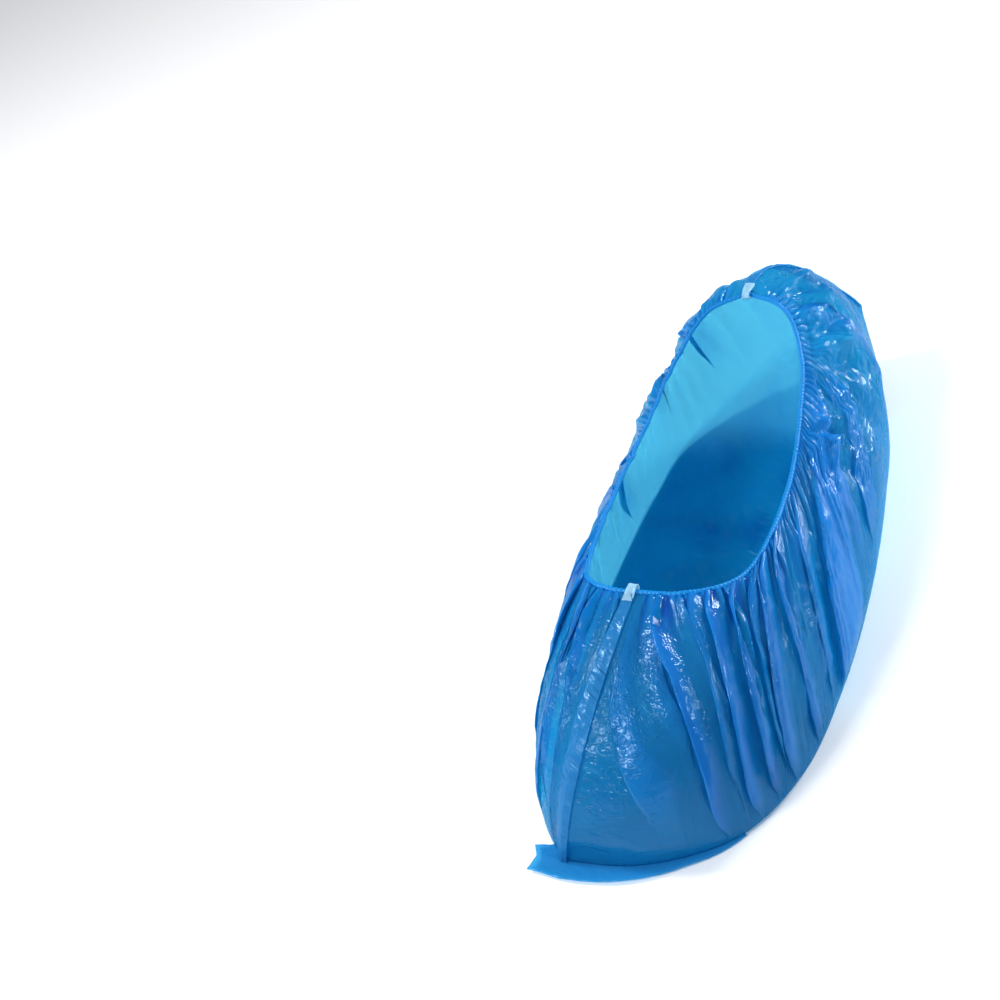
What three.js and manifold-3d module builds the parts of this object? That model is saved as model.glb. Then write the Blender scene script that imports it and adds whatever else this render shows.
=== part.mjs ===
// A pull-on cover of thin blue film for a shoe, in the shape that it has when worn: a hollow gathered body,
// a ring of elastic round its opening, and the welded seams down its toe and its heel.
//
// Millimetres, +Z up, +X to the wearer's right, the toe towards -Y. The origin is on the inner face of the
// film under the foot. Each half of the body is a surface of two numbers: `at`, the share of the way round
// from the toe ridge (0) to the heel ridge (1), and `down`, which runs from the opening (0) to the foot
// line (1) and from there across the underside to the keel (2).

import * as THREE from 'three';
import Module from 'manifold-3d';

const wasm = await Module();
wasm.setup();

// The body.
const LENGTH = 326; // toe corner to heel corner, along Y
const WIDTH = 132; // twice the reach of the foot line on the right
const HEIGHT = 88; // underside to the opening's highest place, at the heel
const FILM_WALL = 1;
const GAP = 0.3; // between neighbouring pieces

// The gathers that the elastic pulls the film into.
const PLEATS_PER_HALF = 22;
const GATHER_HEIGHT = 2.3; // short pleats right at the opening
const RIPPLE_HEIGHT = 1.5; // every two pleats run together into one of these
const FOLD_HEIGHT = 3; // the long folds in RIGHT_FOLDS and LEFT_FOLDS
const CRUMPLE_HEIGHT = 2.2; // the slack film at the heel

// The elastic's covered edge.
const ELASTIC_HEIGHT = 3; // along the film's slope
const ELASTIC_THICKNESS = 2;

// The welded seams.
const SEAM_WIDTH = 4.5;
const SEAM_THICKNESS = 1;
const TAB_WIDTH = 7; // the seam's end, which laps over the elastic
const TAB_RISE = 1.5; // past the elastic
const TAB_LAP = 6; // down the film
const FLAP_REACH = 15; // the flat corner at the toe, from the body's corner to the flap's tip
const FLAP_MARGIN = 6; // the weld's lip along the toe's foot line, which tapers away

const FILM_BLUE = '#2f93e6';
const ELASTIC_BLUE = '#1c7fdc';
const SEAM_BLUE = '#57aef0';

// A row for each section of a half. Each point is [across, along, up], as shares of half the width, the
// length and the height.
const RIGHT_SECTIONS = [
  { at: 0.00, rim: [0.000, -0.190, 0.886], shoulder: [-0.212, -0.359, 0.602], foot: [-0.455, -0.416, 0.000] },
  { at: 0.10, rim: [0.242, -0.186, 0.875], shoulder: [0.242, -0.365, 0.568], foot: [0.061, -0.409, 0.000] },
  { at: 0.20, rim: [0.439, -0.160, 0.830], shoulder: [0.591, -0.310, 0.523], foot: [0.576, -0.359, 0.000] },
  { at: 0.32, rim: [0.576, -0.104, 0.773], shoulder: [0.833, -0.202, 0.477], foot: [0.894, -0.255, 0.000] },
  { at: 0.45, rim: [0.636, -0.021, 0.739], shoulder: [0.939, -0.061, 0.432], foot: [1.000, -0.104, 0.000] },
  { at: 0.58, rim: [0.621, 0.092, 0.716], shoulder: [0.939, 0.104, 0.409], foot: [1.000, 0.080, 0.000] },
  { at: 0.70, rim: [0.561, 0.196, 0.739], shoulder: [0.879, 0.245, 0.432], foot: [0.924, 0.245, 0.000] },
  { at: 0.82, rim: [0.470, 0.307, 0.841], shoulder: [0.758, 0.380, 0.545], foot: [0.818, 0.387, 0.034] },
  { at: 0.92, rim: [0.288, 0.387, 0.955], shoulder: [0.500, 0.472, 0.750], foot: [0.652, 0.503, 0.205] },
  { at: 1.00, rim: [0.000, 0.417, 1.000], shoulder: [0.136, 0.509, 0.875], foot: [0.500, 0.574, 0.398] },
];
const LEFT_SECTIONS = [
  { at: 0.00, rim: [0.000, -0.190, 0.886], shoulder: [-0.212, -0.359, 0.602], foot: [-0.455, -0.416, 0.000] },
  { at: 0.10, rim: [-0.227, -0.181, 0.875], shoulder: [-0.500, -0.313, 0.591], foot: [-0.667, -0.362, 0.000] },
  { at: 0.20, rim: [-0.409, -0.153, 0.830], shoulder: [-0.636, -0.245, 0.534], foot: [-0.788, -0.276, 0.000] },
  { at: 0.32, rim: [-0.515, -0.098, 0.773], shoulder: [-0.742, -0.160, 0.477], foot: [-0.879, -0.172, 0.000] },
  { at: 0.45, rim: [-0.576, -0.015, 0.739], shoulder: [-0.818, -0.037, 0.432], foot: [-0.909, -0.037, 0.000] },
  { at: 0.58, rim: [-0.591, 0.098, 0.716], shoulder: [-0.848, 0.110, 0.409], foot: [-0.909, 0.110, 0.000] },
  { at: 0.70, rim: [-0.561, 0.196, 0.739], shoulder: [-0.818, 0.245, 0.432], foot: [-0.864, 0.252, 0.000] },
  { at: 0.82, rim: [-0.470, 0.307, 0.841], shoulder: [-0.697, 0.374, 0.545], foot: [-0.727, 0.387, 0.034] },
  { at: 0.92, rim: [-0.288, 0.387, 0.955], shoulder: [-0.333, 0.466, 0.773], foot: [-0.212, 0.509, 0.205] },
  { at: 1.00, rim: [0.000, 0.417, 1.000], shoulder: [0.136, 0.509, 0.875], foot: [0.500, 0.574, 0.398] },
];
// The line under the foot where the two halves meet.
const KEEL_SECTIONS = [
  { at: 0.00, keel: [-0.455, -0.416, 0.000] },
  { at: 0.12, keel: [-0.212, -0.353, 0.000] },
  { at: 0.25, keel: [-0.030, -0.245, 0.000] },
  { at: 0.40, keel: [0.030, -0.107, 0.000] },
  { at: 0.55, keel: [0.045, 0.061, 0.000] },
  { at: 0.70, keel: [0.061, 0.230, 0.000] },
  { at: 0.84, keel: [0.121, 0.383, 0.023] },
  { at: 0.93, keel: [0.273, 0.491, 0.159] },
  { at: 1.00, keel: [0.500, 0.574, 0.398] },
];

// A row for each long fold. `at` is its place at the opening, `drift` how far round it has moved at the
// foot line, `from` and `to` where it starts and dies out on the way down, `height` a share of FOLD_HEIGHT
// and `width` a share of the way round.
const RIGHT_FOLDS = [
  { at: 0.030, drift: 0.180, from: 0.00, to: 0.60, height: 0.45, width: 0.012 },
  { at: 0.085, drift: 0.120, from: 0.00, to: 1.00, height: 1.00, width: 0.016 },
  { at: 0.145, drift: 0.090, from: 0.05, to: 0.70, height: 0.50, width: 0.012 },
  { at: 0.190, drift: 0.070, from: 0.00, to: 0.85, height: 0.80, width: 0.014 },
  { at: 0.240, drift: 0.030, from: 0.05, to: 0.65, height: 0.50, width: 0.012 },
  { at: 0.278, drift: 0.010, from: 0.00, to: 0.90, height: 0.70, width: 0.013 },
  { at: 0.310, drift: 0.010, from: 0.00, to: 1.00, height: 0.85, width: 0.014 },
  { at: 0.365, drift: -0.025, from: 0.00, to: 0.70, height: 0.60, width: 0.013 },
  { at: 0.425, drift: -0.070, from: 0.05, to: 1.00, height: 0.80, width: 0.016 },
  { at: 0.500, drift: -0.060, from: 0.05, to: 0.80, height: 0.55, width: 0.016 },
  { at: 0.610, drift: -0.210, from: 0.10, to: 1.00, height: 1.00, width: 0.022 },
  { at: 0.700, drift: -0.040, from: 0.10, to: 0.75, height: 0.60, width: 0.020 },
  { at: 0.800, drift: 0.030, from: 0.10, to: 0.85, height: 0.70, width: 0.022 },
  { at: 0.890, drift: 0.040, from: 0.05, to: 0.90, height: 0.60, width: 0.018 },
];
const LEFT_FOLDS = [
  { at: 0.070, drift: 0.060, from: 0.00, to: 0.85, height: 0.60, width: 0.013 },
  { at: 0.130, drift: 0.050, from: 0.00, to: 0.95, height: 0.90, width: 0.015 },
  { at: 0.200, drift: 0.030, from: 0.05, to: 0.70, height: 0.50, width: 0.013 },
  { at: 0.270, drift: 0.020, from: 0.00, to: 0.95, height: 0.80, width: 0.015 },
  { at: 0.350, drift: 0.000, from: 0.00, to: 0.80, height: 0.60, width: 0.014 },
  { at: 0.430, drift: -0.020, from: 0.05, to: 1.00, height: 0.80, width: 0.018 },
  { at: 0.530, drift: -0.030, from: 0.00, to: 0.75, height: 0.60, width: 0.016 },
  { at: 0.640, drift: -0.020, from: 0.05, to: 1.00, height: 0.80, width: 0.020 },
  { at: 0.760, drift: 0.010, from: 0.05, to: 0.85, height: 0.60, width: 0.018 },
  { at: 0.870, drift: 0.030, from: 0.05, to: 0.95, height: 0.70, width: 0.020 },
];

// The flap's free corners, from the body's toe corner, as shares of FLAP_REACH.
const FLAP_CORNERS = [
  { across: 0.22, along: -0.43 },
  { across: -0.87, along: -0.42 },
  { across: -0.73, along: 0.00 },
  { across: -0.91, along: 0.35 },
];

const RIGHT = { sections: RIGHT_SECTIONS, folds: RIGHT_FOLDS, windsOutward: 1 };
const LEFT = { sections: LEFT_SECTIONS, folds: LEFT_FOLDS, windsOutward: -1 };

// How finely the body is faceted.
const STEPS_PER_PLEAT = 4;
const COLUMNS = PLEATS_PER_HALF * STEPS_PER_PLEAT;
const SIDE_ROWS = [0, 0.045, 0.1, 0.17, 0.26, 0.38, 0.52, 0.68, 0.84, 1];
const SOLE_ROWS = [1.5, 2];
const RIM_SAMPLES = 400;
const SLOPE_STEP = 0.002;
// How far the weld's lip runs round the foot line to each side of the toe corner, in columns of the body.
const FLAP_COLUMNS_LEFT = 4;
const FLAP_COLUMNS_RIGHT = 10;

// Shares of the way round or down over which the gathers and the slack film come and go.
const CLEAR_OF_TOE_SEAM = [0.035, 0.07];
const CLEAR_OF_HEEL_SEAM = [0.94, 0.975];
const CLEAR_OF_GROUND = [0.88, 1];
const SLACK_STARTS = [0.58, 0.72];
const SLACK_ENDS = [0.9, 0.98];
const SLACK_REACHES_DOWN = [0.4, 0.7];
const RIPPLE_DEPTH = 0.22; // where the ripples are highest
const FOLD_RISE = [-0.05, 0.1]; // round a fold's start
const FOLD_FADE = 0.3; // before its end

const clamp = THREE.MathUtils.clamp;
const smoothstep = THREE.MathUtils.smoothstep;

function slopeAt(rows, column, index, axis) {
  const here = rows[index];
  const slopeBetween = (a, b) => (b[column][axis] - a[column][axis]) / (b.at - a.at);
  if (index === 0) return slopeBetween(here, rows[1]);
  if (index === rows.length - 1) return slopeBetween(rows[index - 1], here);
  const before = here.at - rows[index - 1].at;
  const after = rows[index + 1].at - here.at;
  const slopeBefore = slopeBetween(rows[index - 1], here);
  const slopeAfter = slopeBetween(here, rows[index + 1]);
  return (before * slopeAfter + after * slopeBefore) / (before + after);
}

// A smooth curve through one column of a section table, in millimetres. It never dips below the underside.
function pointAlong(rows, column, at) {
  const next = rows.findIndex((row) => row.at > at);
  const index = next < 0 ? rows.length - 2 : next - 1;
  const span = rows[index + 1].at - rows[index].at;
  const t = (at - rows[index].at) / span;
  const share = (axis) => {
    const start = rows[index][column][axis];
    const end = rows[index + 1][column][axis];
    const startSlope = slopeAt(rows, column, index, axis) * span;
    const endSlope = slopeAt(rows, column, index + 1, axis) * span;
    return (2 * t ** 3 - 3 * t ** 2 + 1) * start + (t ** 3 - 2 * t ** 2 + t) * startSlope
      + (3 * t ** 2 - 2 * t ** 3) * end + (t ** 3 - t ** 2) * endSlope;
  };
  return new THREE.Vector3(share(0) * WIDTH / 2, share(1) * LENGTH, Math.max(share(2), 0) * HEIGHT - FILM_WALL);
}

// The body's outer surface above the foot line without its gathers: a parabola through rim, shoulder and
// foot.
function plainPoint(half, at, down) {
  const foot = pointAlong(half.sections, 'foot', at);
  const rim = pointAlong(half.sections, 'rim', at);
  const shoulder = pointAlong(half.sections, 'shoulder', at);
  return rim.multiplyScalar((1 - down) * (1 - 2 * down))
    .addScaledVector(shoulder, 4 * down * (1 - down))
    .addScaledVector(foot, down * (2 * down - 1));
}

// The way down the film, along it at right angles, and out of it.
function frameAt(half, at, down) {
  const step = (fromAt, toAt, fromDown, toDown) => plainPoint(half, clamp(toAt, 0, 1), clamp(toDown, 0, 1))
    .sub(plainPoint(half, clamp(fromAt, 0, 1), clamp(fromDown, 0, 1)));
  const downward = step(at, at, down - SLOPE_STEP, down + SLOPE_STEP).normalize();
  const round = step(at - SLOPE_STEP, at + SLOPE_STEP, down, down);
  const outward = downward.clone().cross(round).multiplyScalar(half.windsOutward).normalize();
  const sideways = outward.clone().cross(downward).normalize();
  return { downward, sideways, outward };
}

// The opening's edge is pleated evenly along its length, so columns are placed by shares of that length.
function rimLengthTable(half) {
  const lengths = [0];
  for (let i = 1; i <= RIM_SAMPLES; i += 1) {
    const from = plainPoint(half, (i - 1) / RIM_SAMPLES, 0);
    const to = plainPoint(half, i / RIM_SAMPLES, 0);
    lengths.push(lengths[i - 1] + from.distanceTo(to));
  }
  return lengths;
}
RIGHT.rimLengths = rimLengthTable(RIGHT);
LEFT.rimLengths = rimLengthTable(LEFT);

function atForRimShare(half, share) {
  const lengths = half.rimLengths;
  const wanted = share * lengths[RIM_SAMPLES];
  const next = lengths.findIndex((length) => length >= wanted);
  if (next <= 0) return 0;
  return (next - (lengths[next] - wanted) / (lengths[next] - lengths[next - 1])) / RIM_SAMPLES;
}

// How far the film stands out of the plain surface. It lies plain beside the two ridges, where the seams are.
function standOut(half, at, share, down) {
  if (down >= 1) return 0;
  const pleat = share * PLEATS_PER_HALF;
  const uneven = 1 + 0.3 * Math.sin(1.7 * pleat);
  const gather = GATHER_HEIGHT * uneven * (0.5 + 10 * down) * Math.exp(-9 * down) * Math.cos(2 * Math.PI * pleat);
  const depth = down / RIPPLE_DEPTH;
  const ripple = RIPPLE_HEIGHT * depth * Math.exp(1 - depth) * Math.cos(Math.PI * pleat + 0.8);
  let folds = 0;
  for (const fold of half.folds) {
    const offset = (at - fold.at - fold.drift * down) / fold.width;
    const alive = smoothstep(down, fold.from + FOLD_RISE[0], fold.from + FOLD_RISE[1])
      * (1 - smoothstep(down, fold.to - FOLD_FADE, fold.to));
    folds += FOLD_HEIGHT * fold.height * alive * Math.exp(-offset * offset);
  }
  const slack = smoothstep(at, ...SLACK_STARTS) * (1 - smoothstep(at, ...SLACK_ENDS))
    * (1 - smoothstep(down, ...SLACK_REACHES_DOWN));
  const crumple = CRUMPLE_HEIGHT * slack * Math.sin(70 * at + 6 * down) * Math.sin(19 * down - 24 * at);
  const besideSeams = smoothstep(at, ...CLEAR_OF_TOE_SEAM) * (1 - smoothstep(at, ...CLEAR_OF_HEEL_SEAM));
  const aboveGround = 1 - smoothstep(down, ...CLEAR_OF_GROUND);
  return (gather + ripple + folds + crumple) * besideSeams * aboveGround;
}

function filmPoint(half, share, down) {
  const at = atForRimShare(half, share);
  if (down > 1) {
    const keelAt = (atForRimShare(RIGHT, share) + atForRimShare(LEFT, share)) / 2;
    return plainPoint(half, at, 1).lerp(pointAlong(KEEL_SECTIONS, 'keel', keelAt), down - 1);
  }
  const point = plainPoint(half, at, down);
  return point.addScaledVector(frameAt(half, at, down).outward, standOut(half, at, share, down));
}

function meshGeometry(points, triangles) {
  const geometry = new THREE.BufferGeometry();
  geometry.setAttribute('position', new THREE.Float32BufferAttribute(points.flatMap((point) => point.toArray()), 3));
  geometry.setIndex(triangles.flat());
  geometry.computeVertexNormals();
  return geometry;
}

// The step from the outer surface to the inner one: the point that lies a wall's thickness behind every face
// round the vertex, as nearly as one point can.
function stepInward(normals) {
  const sums = [0, 0, 0, 0, 0, 0];
  const total = new THREE.Vector3();
  for (const { x, y, z } of normals) {
    [x * x, x * y, x * z, y * y, y * z, z * z].forEach((term, index) => { sums[index] += term; });
    total.add(new THREE.Vector3(x, y, z));
  }
  const [xx, xy, xz, yy, yz, zz] = sums;
  const steady = 0.02 * normals.length;
  const matrix = new THREE.Matrix3().set(xx + steady, xy, xz, xy, yy + steady, yz, xz, yz, zz + steady).invert();
  return total.multiplyScalar(-FILM_WALL).applyMatrix3(matrix).clampLength(0, 2 * FILM_WALL);
}

function buildFilmBody() {
  const outer = [];
  const known = new Map();
  const vertex = (point) => {
    const key = point.toArray().map((value) => Math.round(value * 1000)).join();
    if (!known.has(key)) {
      known.set(key, outer.length);
      outer.push(point);
    }
    return known.get(key);
  };
  const triangles = [];
  const triangle = (a, b, c) => {
    if (a !== b && b !== c && c !== a) triangles.push([a, b, c]);
  };
  const rows = [...SIDE_ROWS, ...SOLE_ROWS];
  const rimEdges = [];
  const slopeAtRim = new Map();
  for (const half of [RIGHT, LEFT]) {
    const grid = rows.map((down) => Array.from({ length: COLUMNS + 1 },
      (_, column) => vertex(filmPoint(half, column / COLUMNS, down))));
    for (let row = 0; row < rows.length - 1; row += 1) {
      for (let column = 0; column < COLUMNS; column += 1) {
        const [a, b] = [grid[row][column], grid[row][column + 1]];
        const [c, d] = [grid[row + 1][column + 1], grid[row + 1][column]];
        const [first, second, third, fourth] = half === RIGHT ? [a, d, c, b] : [a, b, c, d];
        const firstDiagonal = outer[first].distanceTo(outer[third]);
        if (firstDiagonal < outer[second].distanceTo(outer[fourth])) {
          triangle(first, second, third);
          triangle(first, third, fourth);
        } else {
          triangle(second, third, fourth);
          triangle(second, fourth, first);
        }
      }
    }
    for (let column = 0; column < COLUMNS; column += 1) {
      const edge = [grid[0][column], grid[0][column + 1]];
      rimEdges.push(half === RIGHT ? edge : edge.reverse());
    }
    grid[0].forEach((index, column) => {
      slopeAtRim.set(index, frameAt(half, atForRimShare(half, column / COLUMNS), 0).downward);
    });
  }

  const normalsRound = outer.map(() => []);
  for (const [a, b, c] of triangles) {
    const normal = new THREE.Triangle(outer[a], outer[b], outer[c]).getNormal(new THREE.Vector3());
    [a, b, c].forEach((index) => normalsRound[index].push(normal));
  }
  // The film's edge stays square to the film, so that the elastic can lie along it.
  const inner = outer.map((point, index) => {
    const inward = stepInward(normalsRound[index]);
    return point.clone().add(slopeAtRim.has(index) ? inward.projectOnPlane(slopeAtRim.get(index)) : inward);
  });
  const count = outer.length;
  const inside = triangles.map(([a, b, c]) => [a + count, c + count, b + count]);
  const lip = rimEdges.flatMap(([a, b]) => [[a, b, b + count], [a, b + count, a + count]]);
  return meshGeometry([...outer, ...inner], [...triangles, ...inside, ...lip]);
}

// A closed ring or an open strip, through sections that each hold the same number of points.
function loft(sections, isRing) {
  const size = sections[0].length;
  const triangles = [];
  const pairs = isRing ? sections.length : sections.length - 1;
  for (let i = 0; i < pairs; i += 1) {
    const next = (i + 1) % sections.length;
    for (let j = 0; j < size; j += 1) {
      const k = (j + 1) % size;
      triangles.push([i * size + j, next * size + j, next * size + k]);
      triangles.push([i * size + j, next * size + k, i * size + k]);
    }
  }
  if (!isRing) {
    const last = (sections.length - 1) * size;
    for (let j = 1; j < size - 1; j += 1) {
      triangles.push([0, j, j + 1]);
      triangles.push([last, last + j + 1, last + j]);
    }
  }
  return meshGeometry(sections.flat(), triangles);
}

const ELASTIC_STEPS_PER_HALF = 36;
const ELASTIC_SIDES = 8;

// The elastic follows the opening a gap above the film's edge, in the middle of the film's thickness.
function buildElasticRim() {
  const stations = [];
  for (let i = 0; i < ELASTIC_STEPS_PER_HALF; i += 1) stations.push([RIGHT, i / ELASTIC_STEPS_PER_HALF]);
  for (let i = ELASTIC_STEPS_PER_HALF; i > 0; i -= 1) stations.push([LEFT, i / ELASTIC_STEPS_PER_HALF]);
  const sections = stations.map(([half, share]) => {
    const at = atForRimShare(half, share);
    const { downward, outward } = frameAt(half, at, 0);
    if (share === 0 || share === 1) {
      const other = half === RIGHT ? LEFT : RIGHT;
      outward.add(frameAt(other, at, 0).outward).normalize();
    }
    const centre = plainPoint(half, at, 0)
      .addScaledVector(outward, -FILM_WALL / 2)
      .addScaledVector(downward, -GAP - ELASTIC_HEIGHT / 2);
    return Array.from({ length: ELASTIC_SIDES }, (_, side) => {
      const angle = (2 * Math.PI * side) / ELASTIC_SIDES;
      return centre.clone()
        .addScaledVector(outward, Math.cos(angle) * ELASTIC_THICKNESS / 2)
        .addScaledVector(downward, -Math.sin(angle) * ELASTIC_HEIGHT / 2);
    });
  });
  return loft(sections, true);
}

// A closed body that can be joined to others, with the vertices that lie at one place made one.
function toSolid(geometry) {
  const position = geometry.getAttribute('position');
  const known = new Map();
  const vertices = [];
  const merged = Array.from({ length: position.count }, (_, index) => {
    const point = [position.getX(index), position.getY(index), position.getZ(index)];
    const key = point.map((value) => Math.round(value * 1e4)).join();
    if (!known.has(key)) {
      known.set(key, known.size);
      vertices.push(...point);
    }
    return known.get(key);
  });
  const corners = geometry.index ? Array.from(geometry.index.array) : merged.map((_, index) => index);
  return new wasm.Manifold(new wasm.Mesh({
    numProp: 3,
    vertProperties: new Float32Array(vertices),
    triVerts: new Uint32Array(corners.map((corner) => merged[corner])),
  }));
}

function fromSolid(solid) {
  const { vertProperties, triVerts } = solid.getMesh();
  const geometry = new THREE.BufferGeometry();
  geometry.setAttribute('position', new THREE.BufferAttribute(vertProperties, 3));
  geometry.setIndex(new THREE.BufferAttribute(triVerts, 1));
  geometry.computeVertexNormals();
  return geometry;
}

// The weld lies folded flat on the left side of its ridge, from the opening down to the foot line.
function buildSeamStrip(at) {
  const inwards = at === 0 ? 1 : -1;
  const sections = SIDE_ROWS.map((down) => {
    const beside = at + inwards * 0.01;
    const length = plainPoint(LEFT, at, down).distanceTo(plainPoint(LEFT, beside, down));
    const farAt = at + inwards * 0.01 * SEAM_WIDTH / length;
    const corner = (place, height) => {
      const point = plainPoint(LEFT, place, down).addScaledVector(frameAt(LEFT, place, down).outward, height);
      point.z = Math.max(point.z, -FILM_WALL);
      return point;
    };
    const section = [
      corner(at, GAP),
      corner(farAt, GAP),
      corner(farAt, GAP + SEAM_THICKNESS),
      corner(at, GAP + SEAM_THICKNESS),
    ];
    return at === 0 ? section : section.reverse();
  });
  return loft(sections, false);
}

// The seam's end laps over the elastic: a bent plate, drawn from its side and as wide as the tab.
function buildTab(at) {
  const left = frameAt(LEFT, at, 0);
  const right = frameAt(RIGHT, at, 0);
  const outward = left.outward.clone().add(right.outward).normalize();
  const upward = left.downward.clone().negate();
  const across = upward.clone().cross(outward).normalize();
  const overElastic = Math.max(0, (ELASTIC_THICKNESS - FILM_WALL) / 2) + GAP;
  const top = GAP + ELASTIC_HEIGHT + TAB_RISE;
  const bend = FILM_WALL + GAP;
  const profile = new THREE.Shape([
    new THREE.Vector2(-TAB_LAP, GAP),
    new THREE.Vector2(-bend, GAP),
    new THREE.Vector2(0, overElastic),
    new THREE.Vector2(top, overElastic),
    new THREE.Vector2(top, overElastic + SEAM_THICKNESS),
    new THREE.Vector2(0, overElastic + SEAM_THICKNESS),
    new THREE.Vector2(-TAB_LAP, GAP + SEAM_THICKNESS),
  ]);
  const geometry = new THREE.ExtrudeGeometry(profile, { depth: TAB_WIDTH, bevelEnabled: false });
  geometry.translate(0, 0, -TAB_WIDTH / 2);
  const place = new THREE.Matrix4().makeBasis(upward, outward, across);
  place.setPosition(plainPoint(LEFT, at, 0));
  return geometry.applyMatrix4(place);
}

// The flat corner of the film's weld, which lies on the ground round the toe.
function buildFlap() {
  const footPoint = (half, column, distance) => {
    const at = atForRimShare(half, column / COLUMNS);
    const outward = frameAt(half, at, 1).outward;
    if (column === 0) outward.add(frameAt(half === RIGHT ? LEFT : RIGHT, at, 1).outward);
    const point = plainPoint(half, at, 1).addScaledVector(outward.setZ(0).normalize(), distance);
    return new THREE.Vector2(point.x, point.y);
  };
  const margin = (column, columns) => FLAP_MARGIN * (1 - 0.9 * (column / columns) ** 1.5);
  const innerEdge = [];
  for (let column = FLAP_COLUMNS_LEFT; column > 0; column -= 1) innerEdge.push(footPoint(LEFT, column, GAP));
  for (let column = 0; column <= FLAP_COLUMNS_RIGHT; column += 1) innerEdge.push(footPoint(RIGHT, column, GAP));
  const rightEdge = [];
  for (let column = FLAP_COLUMNS_RIGHT; column > 0; column -= 1) {
    rightEdge.push(footPoint(RIGHT, column, GAP + margin(column, FLAP_COLUMNS_RIGHT)));
  }
  const leftEnd = footPoint(LEFT, FLAP_COLUMNS_LEFT, GAP + margin(FLAP_COLUMNS_LEFT, FLAP_COLUMNS_LEFT));
  const corner = plainPoint(LEFT, 0, 1);
  const freeCorners = FLAP_CORNERS.map(({ across, along }) => new THREE.Vector2(
    corner.x + across * FLAP_REACH, corner.y + along * FLAP_REACH));
  const outline = new THREE.Shape([...innerEdge, ...rightEdge, ...freeCorners, leftEnd]);
  const geometry = new THREE.ExtrudeGeometry(outline, { depth: SEAM_THICKNESS, bevelEnabled: false });
  return geometry.translate(0, 0, -FILM_WALL);
}

function join(geometries) {
  return fromSolid(geometries.map(toSolid).reduce((whole, solid) => whole.add(solid)));
}

function addPiece(group, name, geometry, color, roughness) {
  const material = new THREE.MeshStandardMaterial({ color, roughness, metalness: 0 });
  const mesh = new THREE.Mesh(geometry, material);
  mesh.name = name;
  group.add(mesh);
}

const cover = new THREE.Group();
addPiece(cover, 'film_body', buildFilmBody(), FILM_BLUE, 0.35);
addPiece(cover, 'elastic_rim', buildElasticRim(), ELASTIC_BLUE, 0.5);
addPiece(cover, 'toe_seam', join([buildSeamStrip(0), buildTab(0), buildFlap()]), SEAM_BLUE, 0.4);
addPiece(cover, 'heel_seam', join([buildSeamStrip(1), buildTab(1)]), SEAM_BLUE, 0.4);

export default cover;
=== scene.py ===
# %% [markdown]
# # A pull-on shoe cover of blue film
#
# The object is a bag of polyethylene film, about 0.03 mm thick, that keeps a clean floor clean. Elastic
# gathers its opening, and two welds close its toe and heel. Thin film keeps a shape only where it is
# stretched, gathered or folded. So this scene works the shape out from those: the outline that the film is
# stretched over, the pleats that the elastic pulls in, and the long folds that run down from them.
#
# Every length below is in millimetres and becomes metres when a mesh is made. +X is the wearer's right, +Z
# is up, and the toe points towards -Y.

import bpy
import numpy as np
from mathutils import Matrix, Vector


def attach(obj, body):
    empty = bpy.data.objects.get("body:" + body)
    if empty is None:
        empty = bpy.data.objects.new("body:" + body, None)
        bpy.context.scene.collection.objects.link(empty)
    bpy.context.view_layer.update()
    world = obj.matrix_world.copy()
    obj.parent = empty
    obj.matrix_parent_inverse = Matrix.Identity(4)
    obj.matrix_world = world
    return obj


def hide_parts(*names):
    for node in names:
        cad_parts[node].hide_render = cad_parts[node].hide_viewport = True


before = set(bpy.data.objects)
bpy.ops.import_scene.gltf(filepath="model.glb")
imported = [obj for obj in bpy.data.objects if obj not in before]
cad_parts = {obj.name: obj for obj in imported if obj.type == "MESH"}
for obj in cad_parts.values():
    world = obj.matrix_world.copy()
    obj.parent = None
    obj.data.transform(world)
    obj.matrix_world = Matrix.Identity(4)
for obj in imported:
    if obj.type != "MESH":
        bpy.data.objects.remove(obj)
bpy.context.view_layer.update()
MM = 0.001


def in_scene(name, data):
    """A new object with this data, linked to the scene."""
    item = bpy.data.objects.new(name, data)
    bpy.context.scene.collection.objects.link(item)
    return item


print("nodes:", ", ".join(sorted(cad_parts)))

# %% [markdown]
# ## The form under the gathers
#
# A bag like this could be sculpted, or simulated over a form, but both hide the numbers that a maker works
# with. Here each half, right and left, is a surface of two numbers. `at` goes round from the toe ridge (0)
# to the heel ridge (1), and `down` goes from the opening (0) to the foot line (1), where the film turns
# under. From there the sole goes on to the keel in the middle. A short table gives three points for each
# section, as shares of the cover's size, and smooth curves join them.

# %% Named sizes and sections
# The outline's size, which the tables give shares of, the solids' wall, and the gap between two layers.
LENGTH = 326.0
WIDTH = 132.0
HEIGHT = 88.0
SOLID_WALL = 1.0
GAP = 0.3
GROUND = -SOLID_WALL

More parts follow.
